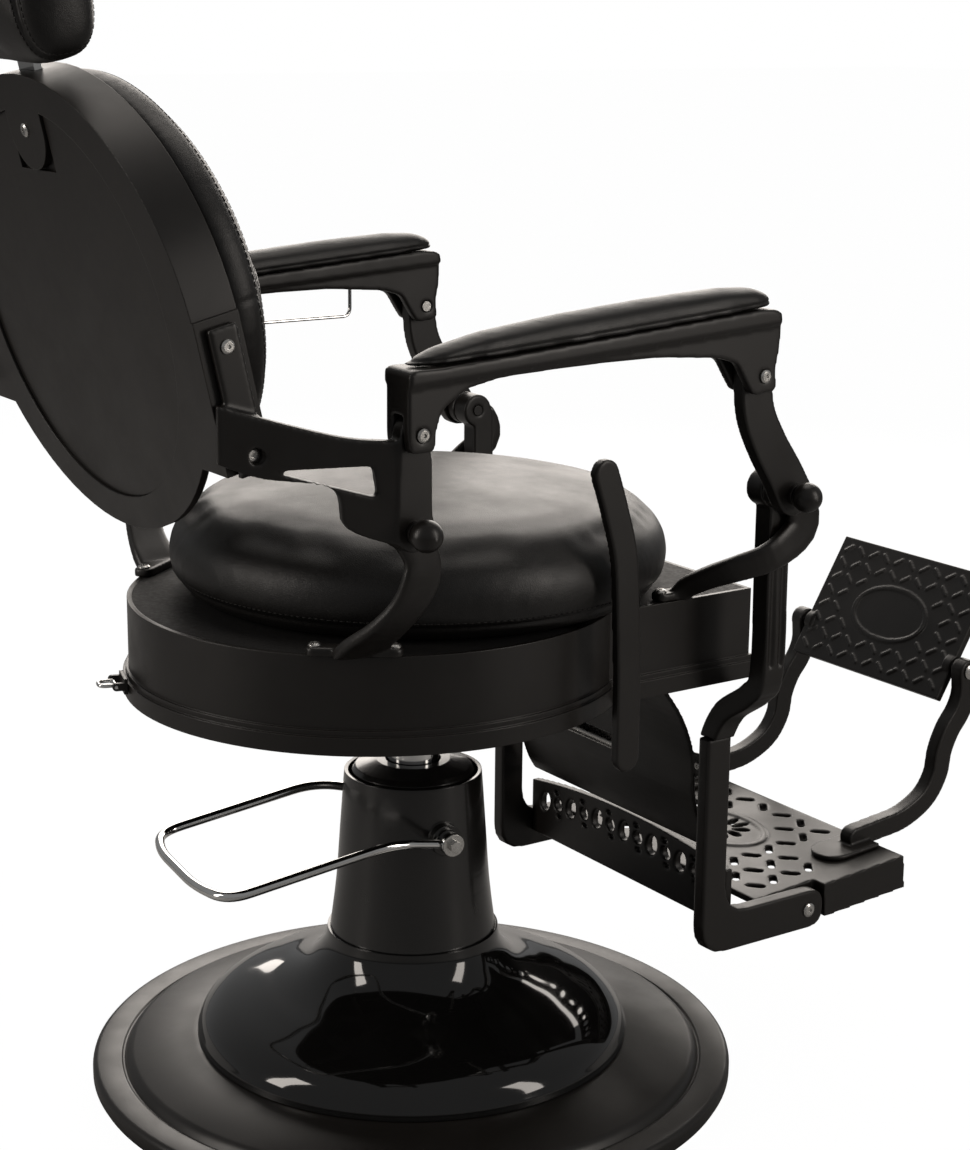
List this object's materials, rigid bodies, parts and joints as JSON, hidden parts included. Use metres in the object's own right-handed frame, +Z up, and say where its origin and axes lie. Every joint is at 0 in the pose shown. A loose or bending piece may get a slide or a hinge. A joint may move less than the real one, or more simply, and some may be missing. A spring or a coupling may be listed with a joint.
{
  "type": "barber chair",
  "caption": "Reclining barber chair: round padded seat on a pump column with a bell base, oval back, padded arms, sliding headrest and a linked, folding pierced footrest.",
  "frame": {"origin": "centre of the round base, on the floor", "axes": "+Z up, the chair faces -Y, the sitter's right hand side is -X"},
  "size_m": [0.6999, 1.2366, 1.2295],
  "materials": {
    "cast_black": "satin black paint",
    "gloss_black": "gloss black enamel",
    "base_black": "satin black paint",
    "chrome": "polished chrome",
    "steel": "plain turned steel",
    "black_leather": "smooth black leatherette",
    "rubber": "black rubber",
    "board": "black stained plywood"
  },
  "bodies": {
    "base": {"base_plate": "base_black", "floor_ring": "rubber", "centre_pad": "rubber", "bell_cover": "gloss_black", "column_sleeve": "gloss_black", "pump_cylinder": "steel", "column_collar": "gloss_black", "pump_shaft": "steel"},
    "pump_pedal": {"pump_lever": "chrome", "pump_lever_bolts": "chrome"},
    "ram": {"lift_ram": "chrome"},
    "seat": {"swivel_plate": "base_black", "seat_frame": "base_black", "apron_shell": "cast_black", "seat_deck": "board", "seat_cushion": "black_leather", "rear_support_right": "cast_black", "rear_support_left": "cast_black", "front_wing_right": "cast_black", "front_wing_left": "cast_black", "seat_screws": "chrome", "back_axles": "cast_black", "strop_bracket": "base_black", "recline_bracket": "base_black"},
    "strop_loop": {"strop_ring": "chrome"},
    "recline_handle": {"recline_shaft": "steel", "recline_lever": "cast_black"},
    "back": {"back_shell": "cast_black", "back_panel": "cast_black", "back_cushion": "black_leather", "back_bracket_right": "cast_black", "back_bracket_left": "cast_black", "back_screws": "chrome", "headrest_guide": "base_black"},
    "arm_right": {"arm_frame_right": "cast_black", "arm_pad_right": "black_leather", "arm_pins_right": "chrome"},
    "arm_left": {"arm_frame_left": "cast_black", "arm_pad_left": "black_leather", "arm_pins_left": "chrome", "towel_rail": "chrome"},
    "legs": {"front_link_right": "cast_black", "front_link_left": "cast_black", "leg_axles": "cast_black", "leg_post_right": "cast_black", "leg_post_left": "cast_black", "hanger_right": "cast_black", "hanger_left": "cast_black", "calf_panel": "cast_black", "footrest_back": "cast_black", "footrest_screws": "chrome"},
    "lower_plate": {"lower_footplate": "cast_black", "curved_arm_right": "cast_black", "curved_arm_left": "cast_black", "footplate_pins": "chrome"},
    "upper_plate": {"upper_footplate": "cast_black", "upper_plate_pins": "chrome"},
    "head_post": {"headrest_post": "chrome"},
    "headrest": {"headrest_frame": "steel", "headrest_cushion": "black_leather"}
  },
  "joints": [
    {"name": "pump_pedal_swing", "type": "hinge", "parent": "base", "child": "pump_pedal", "pos_m": [0, 0, 0.284], "axis": [0.9903, -0.1392, 0], "range_deg": [-20, 8], "stiffness_Nm_per_rad": 30, "springref_deg": 1.15},
    {"name": "seat_lift", "type": "slide", "parent": "base", "child": "ram", "axis": [0, 0, 1], "range_m": [0, 0.15]},
    {"name": "seat_swivel", "type": "hinge", "parent": "ram", "child": "seat", "pos_m": [0, 0, 0.42], "axis": [0, 0, 1], "range_deg": [-110, 110]},
    {"name": "strop_ring_swing", "type": "hinge", "parent": "seat", "child": "strop_loop", "pos_m": [0.08011, 0.31003, 0.463], "axis": [-0.9563, 0.2924, 0], "range_deg": [0, 80]},
    {"name": "recline_handle_swing", "type": "hinge", "parent": "seat", "child": "recline_handle", "pos_m": [-0.272, -0.075, 0.424], "axis": [1, 0, 0], "range_deg": [-12, 18], "stiffness_Nm_per_rad": 20},
    {"name": "back_recline", "type": "hinge", "parent": "seat", "child": "back", "pos_m": [0, 0.195, 0.682], "axis": [-1, 0, 0], "range_deg": [0, 35]},
    {"name": "arm_right_level", "type": "hinge", "parent": "back", "child": "arm_right", "pos_m": [-0.3, 0.195, 0.771], "axis": [1, 0, 0], "range_deg": [0, 39]},
    {"name": "arm_left_level", "type": "hinge", "parent": "back", "child": "arm_left", "pos_m": [0.3, 0.195, 0.771], "axis": [1, 0, 0], "range_deg": [0, 39]},
    {"name": "legrest_swing", "type": "hinge", "parent": "seat", "child": "legs", "pos_m": [0, -0.254, 0.666], "axis": [-1, 0, 0], "range_deg": [0, 27]},
    {"name": "lower_plate_fold", "type": "hinge", "parent": "legs", "child": "lower_plate", "pos_m": [0, -0.399, 0.154], "axis": [-1, 0, 0], "range_deg": [0, 30]},
    {"name": "upper_plate_flip", "type": "hinge", "parent": "lower_plate", "child": "upper_plate", "pos_m": [0, -0.687, 0.374], "axis": [-1, 0, 0], "range_deg": [0, 100]},
    {"name": "headrest_slide", "type": "slide", "parent": "back", "child": "head_post", "axis": [0, 0.225, 0.9744], "range_m": [0, 0.08]},
    {"name": "headrest_tilt", "type": "hinge", "parent": "head_post", "child": "headrest", "pos_m": [0, 0.4166, 1.10299], "axis": [1, 0, 0], "range_deg": [-15, 15]}
  ],
  "couplings": [
    {"joint": "arm_right_level", "follows": "back_recline", "ratio": 1.0938},
    {"joint": "arm_left_level", "follows": "back_recline", "ratio": 1.0938},
    {"joint": "legrest_swing", "follows": "back_recline", "ratio": 0.7544}
  ]
}
